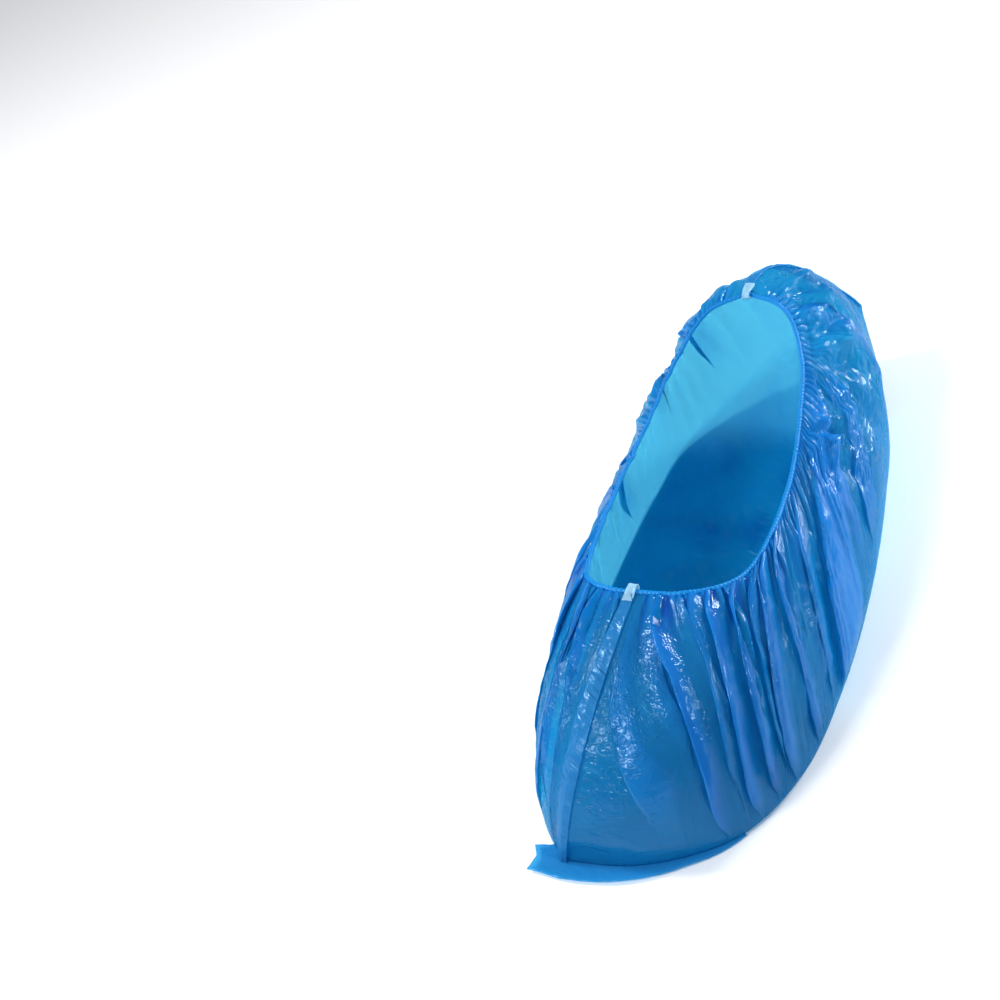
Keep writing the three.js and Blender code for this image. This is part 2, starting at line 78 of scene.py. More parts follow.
SECTION = [("at", float), ("rim", float, 3), ("shoulder", float, 3), ("foot", float, 3)]
TOE_RIDGE = (0.00, (-0.040, -0.174, 0.890), (-0.212, -0.359, 0.602), (-0.455, -0.416, 0))
HEEL_RIDGE = (1.00, (0, 0.402, 1.000), (0.136, 0.509, 0.875), (0.500, 0.574, 0.398))
RIGHT_SECTIONS = np.array([
    TOE_RIDGE,
    (0.10, (0.242, -0.171, 0.880), (0.242, -0.365, 0.568), (0.061, -0.409, 0)),
    (0.20, (0.439, -0.148, 0.835), (0.591, -0.310, 0.523), (0.576, -0.359, 0)),
    (0.32, (0.576, -0.104, 0.773), (0.833, -0.202, 0.477), (0.894, -0.255, 0)),
    (0.45, (0.636, -0.021, 0.739), (0.939, -0.061, 0.432), (1.000, -0.104, 0)),
    (0.58, (0.621, 0.092, 0.716), (0.939, 0.104, 0.409), (1.000, 0.080, 0)),
    (0.70, (0.561, 0.196, 0.739), (0.879, 0.245, 0.432), (0.924, 0.245, 0)),
    (0.82, (0.470, 0.307, 0.841), (0.758, 0.380, 0.545), (0.818, 0.387, 0.034)),
    (0.92, (0.288, 0.376, 0.955), (0.500, 0.472, 0.750), (0.652, 0.503, 0.205)),
    HEEL_RIDGE,
], dtype=SECTION)
LEFT_SECTIONS = np.array([
    TOE_RIDGE,
    (0.10, (-0.227, -0.167, 0.880), (-0.500, -0.313, 0.591), (-0.667, -0.362, 0)),
    (0.20, (-0.409, -0.143, 0.835), (-0.636, -0.245, 0.534), (-0.788, -0.276, 0)),
    (0.32, (-0.515, -0.098, 0.773), (-0.742, -0.160, 0.477), (-0.879, -0.172, 0)),
    (0.45, (-0.576, -0.015, 0.739), (-0.818, -0.037, 0.432), (-0.909, -0.037, 0)),
    (0.58, (-0.591, 0.098, 0.716), (-0.848, 0.110, 0.409), (-0.909, 0.110, 0)),
    (0.70, (-0.561, 0.196, 0.739), (-0.818, 0.245, 0.432), (-0.864, 0.252, 0)),
    (0.82, (-0.470, 0.307, 0.841), (-0.697, 0.374, 0.545), (-0.727, 0.387, 0.034)),
    (0.92, (-0.288, 0.376, 0.955), (-0.333, 0.466, 0.773), (-0.212, 0.509, 0.205)),
    HEEL_RIDGE,
], dtype=SECTION)
KEEL_SECTIONS = np.array([
    (0.00, TOE_RIDGE[-1]),
    (0.12, (-0.212, -0.353, 0)),
    (0.25, (-0.030, -0.245, 0)),
    (0.40, (0.030, -0.107, 0)),
    (0.55, (0.045, 0.061, 0)),
    (0.70, (0.061, 0.230, 0)),
    (0.84, (0.121, 0.383, 0.023)),
    (0.93, (0.273, 0.491, 0.159)),
    (1.00, HEEL_RIDGE[-1]),
], dtype=[("at", float), ("keel", float, 3)])
print(f"outline {LENGTH:.0f} x {WIDTH:.0f} x {HEIGHT:.0f} mm, {len(RIGHT_SECTIONS)} sections a side")


# %% Smooth curves through the sections
def curve_through(rows, column, at):
    """A cubic between each pair of rows that keeps the slopes of its neighbours, in millimetres.

    Each slope is the one that a parabola through three rows would have. Nothing dips below the ground.
    """
    knots = rows["at"]
    points = rows[column]
    slopes = np.gradient(points, knots, axis=0)
    first = np.clip(np.searchsorted(knots, at, side="right") - 1, 0, len(knots) - 2)
    span = (knots[first + 1] - knots[first])[..., None]
    t = (at - knots[first])[..., None] / span
    share = ((2 * t**3 - 3 * t**2 + 1) * points[first] + (t**3 - 2 * t**2 + t) * span * slopes[first]
             + (3 * t**2 - 2 * t**3) * points[first + 1] + (t**3 - t**2) * span * slopes[first + 1])
    share[..., 2] = np.maximum(share[..., 2], 0)
    return share * np.array([WIDTH / 2, LENGTH, HEIGHT]) + np.array([0, 0, GROUND])


def plain_side(half, at, down):
    """The parabola through rim, shoulder and foot: rim(1-d)(1-2d) + shoulder 4d(1-d) + foot d(2d-1)."""
    d = down[..., None]
    rim, shoulder, foot = (curve_through(half["sections"], name, at) for name in ("rim", "shoulder", "foot"))
    return rim * (1 - d) * (1 - 2 * d) + shoulder * 4 * d * (1 - d) + foot * d * (2 * d - 1)


def unit(vectors):
    """Each vector divided by its length."""
    return vectors / np.maximum(np.linalg.norm(vectors, axis=-1, keepdims=True), 1e-12)


# How much `at` and `down` change between the points that give the surface its directions.
SMALL_STEP = 0.002


def side_frame(half, at, down):
    """Unit vectors down the film, round it at right angles and out of it, from small steps of both."""
    def step(at_step, down_step):
        ahead = plain_side(half, np.clip(at + at_step, 0, 1), np.clip(down + down_step, 0, 1))
        behind = plain_side(half, np.clip(at - at_step, 0, 1), np.clip(down - down_step, 0, 1))
        return ahead - behind

    downward = unit(step(0, SMALL_STEP))
    outward = unit(np.cross(downward, step(SMALL_STEP, 0)) * half["winds"])
    sideways = np.cross(outward, downward) * half["winds"]
    return downward, sideways, outward


print("toe end of the opening, mm:", curve_through(RIGHT_SECTIONS, "rim", np.array([0.0]))[0].round(1))

# %% [markdown]
# ## What the elastic does to the film
#
# At the opening, far more film than elastic is bunched up. It hides its spare length at several scales at
# once: fine tucks a few millimetres apart die out first, wider gathers take over, and a few long pleats run
# on down to the ground. A single wave would look like a curtain, so each scale has its own pitch, reach and
# disorder, from seeded random tables. The long pleats are listed one by one, because a viewer knows the
# cover by them. At the heel nothing pulls the film tight below the elastic, so it crumples into flat facets,
# which glint one by one.

# %% Disorder from a lattice of random numbers
LATTICE = 64


def ramp(value, start, end):
    """Smoothly from 0 at start to 1 at end."""
    t = np.clip((value - start) / (end - start), 0, 1)
    return t * t * (3 - 2 * t)


def value_noise(x, y, seed):
    """Random numbers on a square lattice, mixed smoothly between the four that are nearest: from -1 to 1."""
    table = np.random.RandomState(seed).uniform(-1, 1, (LATTICE, LATTICE))
    column, row = np.floor(x).astype(int), np.floor(y).astype(int)
    across, up = x - column, y - row
    across = across * across * (3 - 2 * across)
    up = up * up * (3 - 2 * up)

    def corner(i, j):
        return table[(column + i) % LATTICE, (row + j) % LATTICE]

    near = corner(0, 0) * (1 - across) + corner(1, 0) * across
    far = corner(0, 1) * (1 - across) + corner(1, 1) * across
    return near * (1 - up) + far * up


def facets(x, y, seed):
    """Random heights on a lattice of triangles with flat faces between them: from -1 to 1.

    A unit square is split along its diagonal, and each half is a plane through its three corners. The
    lattice is bent by smooth noise first, so that no two creases are parallel.
    """
    table = np.random.RandomState(seed).uniform(-1, 1, (LATTICE, LATTICE))
    bent_x = x + 0.45 * value_noise(x * 0.9, y * 0.9, seed + 1) + 0.5 * y
    bent_y = y + 0.45 * value_noise(x * 0.9 + 9, y * 0.9, seed + 2)
    column, row = np.floor(bent_x).astype(int), np.floor(bent_y).astype(int)
    across, up = bent_x - column, bent_y - row

    def corner(i, j):
        return table[(column + i) % LATTICE, (row + j) % LATTICE]

    low = corner(0, 0) + across * (corner(1, 0) - corner(0, 0)) + up * (corner(1, 1) - corner(1, 0))
    high = corner(0, 0) + up * (corner(0, 1) - corner(0, 0)) + across * (corner(1, 1) - corner(0, 1))
    return np.where(across > up, low, high)


def crumple(x, y, seed):
    """Crumpled film: two sizes of facets, the second 0.45 as high and 2.3 times as fine."""
    return (facets(x, y, seed) + 0.45 * facets(2.3 * x, 2.3 * y, seed + 5)) / 1.2


print("heights from the first table:", value_noise(np.arange(3) + 0.5, np.zeros(3), 1).round(2))


# %% The way the folds run
# Folds don't run straight down: the film fans out over the toe and closes in beside the ball of the foot.
# For each place on the foot line, this table gives how far round a fold there has moved since the opening.
FLOW = [("at", float), ("moved", float)]
RIGHT_FLOW = np.array([
    (0.00, 0.0), (0.14, 0.12), (0.20, 0.125), (0.25, 0.05), (0.28, 0.0), (0.31, -0.08), (0.37, -0.09),
    (0.40, -0.13), (0.60, -0.20), (0.80, -0.10), (1.00, 0.0),
], dtype=FLOW)
LEFT_FLOW = np.array([
    (0.00, 0.0), (0.04, -0.08), (0.15, -0.08), (0.30, -0.05), (0.50, 0.0), (0.80, 0.03), (1.00, 0.0),
], dtype=FLOW)


def fold_turn(at, down):
    """How much of its way round a fold has gone: 1 - (1 - d)^n, fast near the opening and slow at the foot.

    The power n falls from 3 on the sides to 1.3 at the heel, where the tucks leave the opening at right
    angles.
    """
    return 1 - (1 - np.clip(down, 0, 1)) ** (3 - 1.7 * ramp(at, 0.62, 0.8))


def fold_place(flow, at, down):
    """The place at the opening that the fold through (at, down) starts from."""
    return at - np.interp(at, flow["at"], flow["moved"]) * fold_turn(at, down)


print(f"a fold that ends at 0.20 starts at {fold_place(RIGHT_FLOW, 0.2, 1.0):.3f}")

# %% The long pleats
# at: place at the opening; drift: how much further round it moves than the folds beside it; start and end:
# where it lives on the way down; height: share of PLEAT_HEIGHT in millimetres; width: half its width, as a
# share of the way round; lean: share of PLEAT_LEAN in millimetres, and to which side; far: how much further
# off and softer its second edge is. PLEAT_EDGE is how sharp the edges are.
PLEAT_HEIGHT = 2.5
PLEAT_LEAN = 6.0
PLEAT_EDGE = 8.0
PLEAT = [(name, float) for name in ("at", "drift", "start", "end", "height", "width", "lean", "far")]
RIGHT_PLEATS = np.array([
    (0.024, 0, 0.00, 0.90, 0.50, 0.006, -0.8, 0),
    (0.046, 0, 0.00, 0.60, 0.40, 0.006, 0.7, 0),
    (0.078, 0, 0.00, 1.05, 0.95, 0.006, -1.0, 0),
    (0.108, 0, 0.03, 0.65, 0.45, 0.005, 0.8, 0),
    (0.142, 0, 0.00, 0.90, 0.60, 0.007, -0.9, 0),
    (0.195, 0, 0.00, 1.05, 0.90, 0.012, -1.0, 0),
    (0.232, 0, 0.04, 0.75, 0.45, 0.006, 0.8, 0),
    (0.282, 0, 0.00, 1.05, 0.85, 0.013, -1.0, 0),
    (0.322, 0, 0.00, 0.80, 0.50, 0.008, 0.9, 0),
    (0.352, 0, 0.02, 0.95, 0.65, 0.010, -0.8, 0),
    (0.393, 0, 0.00, 1.05, 0.90, 0.010, -1.0, 0),
    (0.430, 0, 0.03, 0.85, 0.50, 0.008, 0.8, 0),
    (0.462, 0, 0.00, 1.05, 0.80, 0.012, -1.0, 0),
    (0.510, 0, 0.05, 0.90, 0.55, 0.010, 0.7, 0),
    (0.555, 0, 0.05, 0.95, 0.65, 0.012, -0.8, 0),
    (0.690, -0.100, 0.05, 1.05, 1.35, 0.010, -0.9, 9.0),
    (0.730, 0, 0.10, 0.75, 0.60, 0.012, 0.6, 0),
    (0.800, 0, 0.10, 0.85, 0.70, 0.013, -0.7, 0),
    (0.890, 0, 0.05, 0.90, 0.60, 0.012, 0.7, 0),
], dtype=PLEAT)
LEFT_PLEATS = np.array([
    (0.045, 0, 0.00, 0.75, 0.50, 0.006, -0.9, 0),
    (0.090, 0, 0.00, 1.05, 0.90, 0.009, 1.0, 0),
    (0.130, 0, 0.03, 0.85, 0.60, 0.008, 0.9, 0),
    (0.180, 0, 0.00, 1.00, 0.75, 0.009, -0.8, 0),
    (0.225, 0, 0.04, 0.70, 0.50, 0.008, 0.8, 0),
    (0.270, 0, 0.00, 1.05, 0.85, 0.011, -1.0, 0),
    (0.350, 0, 0.00, 0.85, 0.60, 0.010, 0.9, 0),
    (0.430, 0, 0.05, 1.05, 0.80, 0.012, -1.0, 0),
    (0.530, 0, 0.00, 0.80, 0.60, 0.010, 0.8, 0),
    (0.640, 0, 0.05, 1.05, 0.80, 0.013, -0.9, 0),
    (0.760, 0, 0.05, 0.85, 0.60, 0.012, 0.8, 0),
    (0.870, 0, 0.05, 0.95, 0.70, 0.013, -0.8, 0),
], dtype=PLEAT)


def long_pleats(pleats, start, down):
    """Height and sideways lean of the flat-topped pleats: tanh steps up and down at the two edges of each.

    Where `far` isn't 0, the second edge lies further off and is as much softer: a loose flap instead of a
    band. A pleat's own drift turns as fast as a fold on the side of the cover.
    """
    height = np.zeros_like(start)
    lean = np.zeros_like(start)
    for pleat in pleats:
        x = (start - pleat["at"] - pleat["drift"] * fold_turn(0.0, down)) / pleat["width"]
        alive = ramp(down, pleat["start"] - 0.05, pleat["start"] + 0.1)
        alive = alive * (1 - ramp(down, pleat["end"] - 0.3, pleat["end"]))
        far = 1 + pleat["far"]
        top = 0.5 * (np.tanh(PLEAT_EDGE * (x + 1)) - np.tanh(PLEAT_EDGE * (x - far) / far)) * alive
        height += PLEAT_HEIGHT * pleat["height"] * top
        lean += PLEAT_LEAN * pleat["lean"] * top
    return height, lean


print(f"long pleats: {len(RIGHT_PLEATS)} on the right, {len(LEFT_PLEATS)} on the left")

# %% The gathers
# In millimetres: each kind's pitch along the opening, its height and its reach down the film, or the height
# and the size of its facets.
TUCK_PITCH, TUCK_HEIGHT, TUCK_REACH = 3.1, 3.6, 10.5
GATHER_PITCH, GATHER_HEIGHT, GATHER_REACH = 7.0, 3.0, 22.0
STREAK_PITCH, STREAK_HEIGHT, STREAK_REACH = 6.2, 1.5, 105.0
RIPPLE_PITCH, RIPPLE_HEIGHT, RIPPLE_REACH = 15.0, 0.9, 45.0
SLACK_HEIGHT, SLACK_SIZE = 4.2, 17.0
BUNCH_HEIGHT, BUNCH_SIZE = 4.6, 8.0
CREASE_HEIGHT, CREASE_SIZE = 0.6, 6.5
# Where on the way round the film turns loose, and the depths at which its bunching begins and ends.
LOOSE_FROM, LOOSE_FULLY = 0.57, 0.68
BUNCH_BEGINS, BUNCH_ENDS = (4, 9), (26, 38)
# The film has its folds between the two welds and above the ground, which hold it flat.
HELD_AT_TOE, HELD_AT_HEEL, HELD_AT_GROUND = (0.02, 0.05), (0.95, 0.98), (0.86, 1.0)


def bulge(phase):
    """Round bulges with sharp valleys, one per unit of phase: |sin|, with its mean taken out."""
    return np.abs(np.sin(np.pi * phase)) - 0.64


def crest(phase):
    """Sharp creases with wide valleys, one per unit of phase: 1 - |sin|, with its mean taken out."""
    return 1 - np.abs(np.sin(np.pi * phase)) - 0.36


def stand_out(half, start, at, down, depth):
    """How far the film lies out of the plain surface and to the side of it, and its state.

    The state is three numbers: how many layers thick it looks, how much shade is painted on it for lying
    deep in the valleys of the gathers, and how loose.

    Each scale is a wave of bulges or creases along the rim, with a wandering phase and height. It dies with
    depth as exp(-(d/r)^n), where r is its reach, and the wider ones start only a little way below the
    opening, as 1 - exp(-d/s), because the elastic holds the edge itself narrow. In a factor like
    0.6 + 0.55 uneven, the first number is the mean and the second is the disorder.
    """
    seed = half["seed"]
    along = np.interp(start, FINE, half["rim_share"]) * half["rim_length"]

    def uneven(pitch, number):
        """Noise that changes every `pitch` millimetres along the opening and every 60 mm down."""
        return value_noise(along / pitch, depth / 60 + number, seed + number)

    at_heel = half["slack"] * ramp(at, LOOSE_FROM, LOOSE_FULLY)
    reach = TUCK_REACH * (1 + 0.6 * uneven(8, 1)) * (1 - 0.45 * at_heel)
    tucks = TUCK_HEIGHT * (0.45 + 0.55 * (1 - np.exp(-depth / 2))) * np.exp(-(depth / reach) ** 1.4)
    tucks = tucks * (0.8 + 0.4 * uneven(6, 2)) * bulge(along / TUCK_PITCH + 0.7 * uneven(12, 3))

    reach = GATHER_REACH * (1 + 0.5 * uneven(18, 4))
    gathers = GATHER_HEIGHT * (1 - np.exp(-depth / 5)) * np.exp(-(depth / reach) ** 1.6)
    gather_phase = along / GATHER_PITCH + 0.9 * uneven(20, 6)
    gathers = gathers * (0.6 + 0.55 * uneven(15, 5)) * bulge(gather_phase) * (1 - 0.85 * at_heel)

    reach = STREAK_REACH * (1 + 0.6 * uneven(9, 9))
    streaks = STREAK_HEIGHT * (1 - np.exp(-depth / 8)) * np.exp(-(depth / reach) ** 2)
    streaks = streaks * np.clip(0.45 + 0.9 * uneven(7, 10), 0, 1) * (1 - 0.85 * at_heel)
    streaks = streaks * crest(along / STREAK_PITCH + 0.9 * uneven(13, 11))

    ripples = RIPPLE_HEIGHT * (depth / RIPPLE_REACH) * np.exp(1 - depth / RIPPLE_REACH)
    ripples = ripples * (0.6 + 0.6 * uneven(40, 7)) * bulge(along / RIPPLE_PITCH + 0.8 * uneven(50, 8))
    pleat_height, pleat_lean = long_pleats(half["pleats"], start, down)

    girth = at * half["foot_length"]
    loose = at_heel * ramp(depth, 1, 7) * (1 - ramp(down, 0.5, 0.85))
    bunch = at_heel * ramp(depth, *BUNCH_BEGINS) * (1 - ramp(depth, *BUNCH_ENDS))
    slack = loose * SLACK_HEIGHT * facets(girth / SLACK_SIZE, depth / (1.5 * SLACK_SIZE), seed + 20)
    slack = slack + bunch * BUNCH_HEIGHT * facets(girth / BUNCH_SIZE, depth / (1.5 * BUNCH_SIZE), seed + 40)
    slack = slack * (1 - ramp(at, 0.95, 0.985))
    creases = CREASE_HEIGHT * ramp(depth, 6, 25)
    creases = creases * crumple(girth / CREASE_SIZE, depth / CREASE_SIZE, seed + 30) * (1 - 0.7 * at_heel)

    beside_seam = ramp(at, *HELD_AT_TOE) * (1 - ramp(at, *HELD_AT_HEEL))
    above_ground = 1 - ramp(down, *HELD_AT_GROUND)
    fade = beside_seam * above_ground
    over_lip = np.exp(-((down - 0.94) / 0.04) ** 2) * (1 - ramp(at, 0.06, 0.13))
    # Painted shade: the deeper the film lies in the valleys of the gathers, the darker and denser the
    # material draws it.
    painted_valley_shade = np.clip(0.1 - (1.6 * tucks + 0.7 * gathers + 0.6 * ripples + streaks) / 1.4, 0, 1)
    layers = 1.7 * np.exp(-depth / 8) + 2.2 * pleat_height / PLEAT_HEIGHT
    state = np.stack([1 + layers * fade, painted_valley_shade * fade, np.maximum(loose, bunch) + 0 * fade], axis=-1)
    outward = (tucks + gathers + streaks + ripples + pleat_height + slack + creases) * fade
    outward = outward - half["lip_crease"] * over_lip
    sideways = (pleat_lean + 1.1 * gathers * np.sin(2.1 * gather_phase) + 0.6 * streaks) * fade
    return outward, sideways, state


# %% The two halves
def rim_of(half, at):
    """The line of the opening."""
    return curve_through(half["sections"], "rim", at)


def foot_of(half, at):
    """The foot line."""
    return curve_through(half["sections"], "foot", at)


def running_length(points):
    """Distance along a row of points, starting from 0."""
    steps = np.linalg.norm(np.diff(points, axis=0), axis=-1)
    return np.concatenate([[0], np.cumsum(steps)])


# Close places round a half, for measuring along it.
FINE = np.linspace(0, 1, 6001)
# winds: which way round the half runs; slack: how loose its heel is; lip_crease: how far the film is drawn
# in just above the toe's flat corner, in millimetres.
HALVES = {
    "right": {"sections": RIGHT_SECTIONS, "flow": RIGHT_FLOW, "pleats": RIGHT_PLEATS, "winds": 1, "seed": 11,
              "slack": 1.0, "lip_crease": 1.6},
    "left": {"sections": LEFT_SECTIONS, "flow": LEFT_FLOW, "pleats": LEFT_PLEATS, "winds": -1, "seed": 47,
             "slack": 0.5, "lip_crease": 0.0},
}
for half in HALVES.values():
    rim_lengths = running_length(rim_of(half, FINE))
    half["rim_length"] = rim_lengths[-1]
    half["rim_share"] = rim_lengths / rim_lengths[-1]
    half["foot_length"] = running_length(foot_of(half, FINE))[-1]
    print(f"opening, one half: {half['rim_length']:.0f} mm; foot line: {half['foot_length']:.0f} mm")

# %% [markdown]
# ## Film body
#
# The mesh is a grid: columns go round, rows go down. Folded film needs its columns where the film is, not
# where the outline is, so the gathered edge is measured first, and the columns are then spread evenly along
# the film itself. Each column follows its fold down to the ground, as a line drawn on the flat film would,
# and that keeps the turned-over pleats sharp. Each point also keeps the film's state there, for the
# material to read.

# %% Columns along the film, rows down it
COLUMNS = 470
SIDE_DOWN = np.concatenate([
    np.linspace(0, 0.12, 10)[:-1],
    np.linspace(0.12, 0.5, 17)[:-1],
    np.linspace(0.5, 1, 17),
])
# The sole's rows from the foot line to the keel, the height and size of its creases, and its looseness.
SOLE_SHARE = np.array([0.03, 0.08, 0.16, 0.26, 0.38, 0.5, 0.62, 0.75, 0.88, 1.0])
SOLE_RISE, SOLE_CREASE = 3.6, 17.0
SOLE_SLACK = 0.35
# Film of 0.03 mm would put its two faces nearly on each other, so it is drawn 0.25 mm thick.
FILM_WALL = 0.25
# Where on the way down a fold's length is measured, and the two rows that help to share out the columns.
LADDER = np.linspace(0, 1, 25)
NEAR_RIM, HALFWAY = np.array([0.09]), np.array([0.4])


def along_folds(half, start, down):
    """Where the folds that begin at `start` have come to on each row of `down`: fold_place turned round."""
    return np.stack([np.interp(start, fold_place(half["flow"], FINE, row), FINE) for row in down])


def gathered(half, start, down):
    """The film's outer surface on columns that follow the folds: the plain form, moved out and sideways."""
    at = along_folds(half, start, down)
    deep = np.broadcast_to(down[:, None], at.shape)
    plain = plain_side(half, at, deep)
    _, sideways, outward = side_frame(half, at, deep)
    path = plain_side(half, along_folds(half, start, LADDER), LADDER[:, None] + 0 * start)
    steps = np.linalg.norm(np.diff(path, axis=0), axis=-1)
    depths = np.concatenate([np.zeros((1, len(start))), np.cumsum(steps, axis=0)])
    rung = down * (len(LADDER) - 1)
    below = np.minimum(np.floor(rung).astype(int), len(LADDER) - 2)
    share = (rung - below)[:, None]
    depth = depths[below] * (1 - share) + depths[below + 1] * share
    out, aside, state = stand_out(half, np.broadcast_to(start, at.shape), at, deep, depth)
    return plain + outward * out[..., None] + sideways * aside[..., None], depth, state


def column_places(half):
    """Starts that share the film evenly, by its length near the rim, halfway and at the ground."""
    near_rim = running_length(gathered(half, FINE, NEAR_RIM)[0][0])
    halfway = running_length(gathered(half, FINE, HALFWAY)[0][0])
    foot = running_length(foot_of(half, along_folds(half, FINE, np.array([1.0])))[0])
    mixed = 0.45 * near_rim / near_rim[-1] + 0.3 * halfway / halfway[-1] + 0.25 * foot / foot[-1]
    half["film_length"] = near_rim[-1]
    return np.interp(np.linspace(0, 1, COLUMNS + 1), mixed, FINE)


for half in HALVES.values():
    half["columns"] = column_places(half)
    print(f"film along the gathered edge, one half: {half['film_length']:.0f} mm")


# %% The whole film as one ring of columns
# About how many rows on each side of the foot line are rounded, and how often.
ROUNDED_ROWS = 1.5
ROUNDINGS = 2


def film_grid():
    """Rows of points round the cover, right half then left half, and how deep each lies along the film.

    The last row is the keel, where both halves share their points. Rows near the foot line are averaged with
    their neighbours a few times, which rounds the edge that the film turns under the foot.
    """
    ends = [along_folds(half, half["columns"], np.array([1.0]))[0] for half in HALVES.values()]
    keel_at = (ends[0] + ends[1]) / 2
    keel = curve_through(KEEL_SECTIONS, "keel", keel_at)
    sides, depths, states = [], [], []
    for half in HALVES.values():
        side, depth, state = gathered(half, half["columns"], SIDE_DOWN)
        foot = side[-1]
        sole = foot + (keel - foot) * SOLE_SHARE[:, None, None]
        creases = crumple(sole[..., 0] / SOLE_CREASE, sole[..., 1] / SOLE_CREASE, 33)
        lying = 1 - np.exp(-SOLE_SHARE[:, None] / 0.2)
        sole[..., 2] += SOLE_RISE * np.maximum(0.5 + 0.5 * creases, 0) * lying
        layers = 1 + np.maximum(creases, 0) * lying
        # Painted shade: the sole's film is darkened and made denser in the hollows of its creases.
        painted_valley_shade = np.clip(-1.2 * creases, 0, 1) * lying
        loose = SOLE_SLACK * lying + 0 * creases
        sole_depth = depth[-1] + np.linalg.norm(keel - foot, axis=-1) * SOLE_SHARE[:, None]
        sides.append(np.concatenate([side, sole]))
        depths.append(np.concatenate([depth, sole_depth]))
        states.append(np.concatenate([state, np.stack([layers, painted_valley_shade, loose], axis=-1)]))
    ring, depth, state = (np.concatenate([right, left[:, -2:0:-1]], axis=1)
                          for right, left in (sides, depths, states))
    foot_row = len(SIDE_DOWN) - 1
    weight = np.exp(-((np.arange(len(ring)) - foot_row) / ROUNDED_ROWS) ** 2)
    weight[-1] = 0
    for _ in range(ROUNDINGS):
        blurred = ring.copy()
        blurred[1:-1] = (ring[:-2] + 2 * ring[1:-1] + ring[2:]) / 4
        ring = ring + (blurred - ring) * weight[:, None, None]
    ring[..., 2] = np.maximum(ring[..., 2], GROUND)
    return ring, depth, state


def quads_of(grid):
    """The four corners of every cell of a grid, in turn: here, one down, one down and across, one across."""
    return np.stack([grid[:-1, :-1], grid[1:, :-1], grid[1:, 1:], grid[:-1, 1:]], axis=2)


def make_piece(name, points, corners, corner_uv):
    """A smooth mesh object from points in millimetres, quads of point numbers and each corner's flat place.

    A corner that repeats the one before it is dropped, so a quad with a closed side becomes a triangle.
    """
    corners = np.asarray(corners)
    keep = corners != np.roll(corners, 1, axis=1)
    count = keep.sum(axis=1)
    whole = count >= 3
    keep = keep & whole[:, None]
    count = count[whole]
    loops = corners[keep]
    mesh = bpy.data.meshes.new(name)
    mesh.vertices.add(len(points))
    mesh.vertices.foreach_set("co", (np.asarray(points) * MM).astype(np.float32).ravel())
    mesh.loops.add(len(loops))
    mesh.loops.foreach_set("vertex_index", loops.astype(np.int32))
    mesh.polygons.add(len(count))
    mesh.polygons.foreach_set("loop_start", np.concatenate([[0], np.cumsum(count)[:-1]]).astype(np.int32))
    mesh.update(calc_edges=True)
    layer = mesh.uv_layers.new(name="FilmMap")
    layer.data.foreach_set("uv", (np.asarray(corner_uv)[keep] * MM).astype(np.float32).ravel())
    mesh.polygons.foreach_set("use_smooth", np.full(len(count), True))
    mesh.validate()
    print(f"{name}: {len(points)} points, {len(count)} faces")
    return in_scene(name, mesh)


def point_normals(points, corners):
    """Each point's normal: the sum of its faces' diagonal cross products, which weighs large faces more."""
    a, b, c, d = (points[corners[:, k]] for k in range(4))
    face = np.cross(c - a, d - b)
    total = np.zeros_like(points)
    for k in range(4):
        np.add.at(total, corners[:, k], face)
    return unit(total)


def closed_film(name, ring, depth, state):
    """A wall of film between the ring of points and the same ring moved inwards by the film's thickness.

    The two halves share the keel's points, and each end of the keel is one point. The flat map is the
    distance round the film, measured halfway down the side, and the depth along it. The inner faces have
    the second material.
    """
    rows, columns = ring.shape[:2]
    number = np.arange(rows * columns).reshape(rows, columns)
    half_columns = columns // 2
    foot_row = len(SIDE_DOWN) - 1
    number[foot_row + 1:, 0] = number[foot_row, 0]
    number[foot_row + 1:, half_columns] = number[foot_row, half_columns]
    number[-1, half_columns + 1:] = number[-1, half_columns - 1:0:-1]
    number = np.concatenate([number, number[:, :1]], axis=1)
    used, number = np.unique(number, return_inverse=True)
    number = number.reshape(rows, columns + 1)
    outer = ring.reshape(-1, 3)[used]
    corners = quads_of(number).reshape(-1, 4)
    inner = outer - FILM_WALL * point_normals(outer, corners)
    count = len(outer)
    lip = np.stack([number[0, :-1], number[0, 1:], number[0, 1:] + count, number[0, :-1] + count], axis=-1)
    halfway = ring[foot_row // 2]
    along = running_length(np.concatenate([halfway, halfway[:1]]))
    across = np.broadcast_to(along, (rows, columns + 1))
    deep = np.concatenate([depth, depth[:, :1]], axis=1)
    flat = np.stack([across, deep], axis=-1)
    flat_corners = quads_of(flat).reshape(-1, 4, 2)
    lip_flat = np.stack([flat[0, :-1], flat[0, 1:], flat[0, 1:], flat[0, :-1]], axis=1)
    piece = make_piece(
        name,
        np.concatenate([outer, inner]),
        np.concatenate([corners, corners[:, ::-1] + count, lip]),
        np.concatenate([flat_corners, flat_corners[:, ::-1], lip_flat]),
    )
    material_index = np.zeros(len(piece.data.polygons), dtype=np.int32)
    material_index[len(corners):2 * len(corners)] = 1
    piece.data.polygons.foreach_set("material_index", material_index)
    attribute = piece.data.attributes.new("film_state_and_shade", "FLOAT_VECTOR", "POINT")
    values = state.reshape(-1, 3)[used]
    attribute.data.foreach_set("vector", np.concatenate([values, values]).astype(np.float32).ravel())
    return piece


ring, depth, state = film_grid()
film_body = closed_film("film_bag", ring, depth, state)

# %% [markdown]
# ## Elastic edge
#
# The elastic is sewn or welded into the film's folded edge, so what shows is a thin round cord of tightly
# bunched film. It could be a plain tube with a striped material, but its outline shows against the inside
# of the cover, so the bunching is modelled: an oval is carried along the opening, and swells every two
# millimetres.

# %% The oval along the opening
# Millimetres, and then the number of ovals on each half and the sides of each oval.
ELASTIC_HEIGHT = 2.2
ELASTIC_THICKNESS = 1.7
ELASTIC_PITCH = 1.9
STATIONS = 620
SIDES = 14
# How much the oval swells at each bunch, how far it laps over the film's edge, and how far in it sits.
ELASTIC_SWELL = 0.38
ELASTIC_LAP = 0.6
ELASTIC_INSET = 0.5


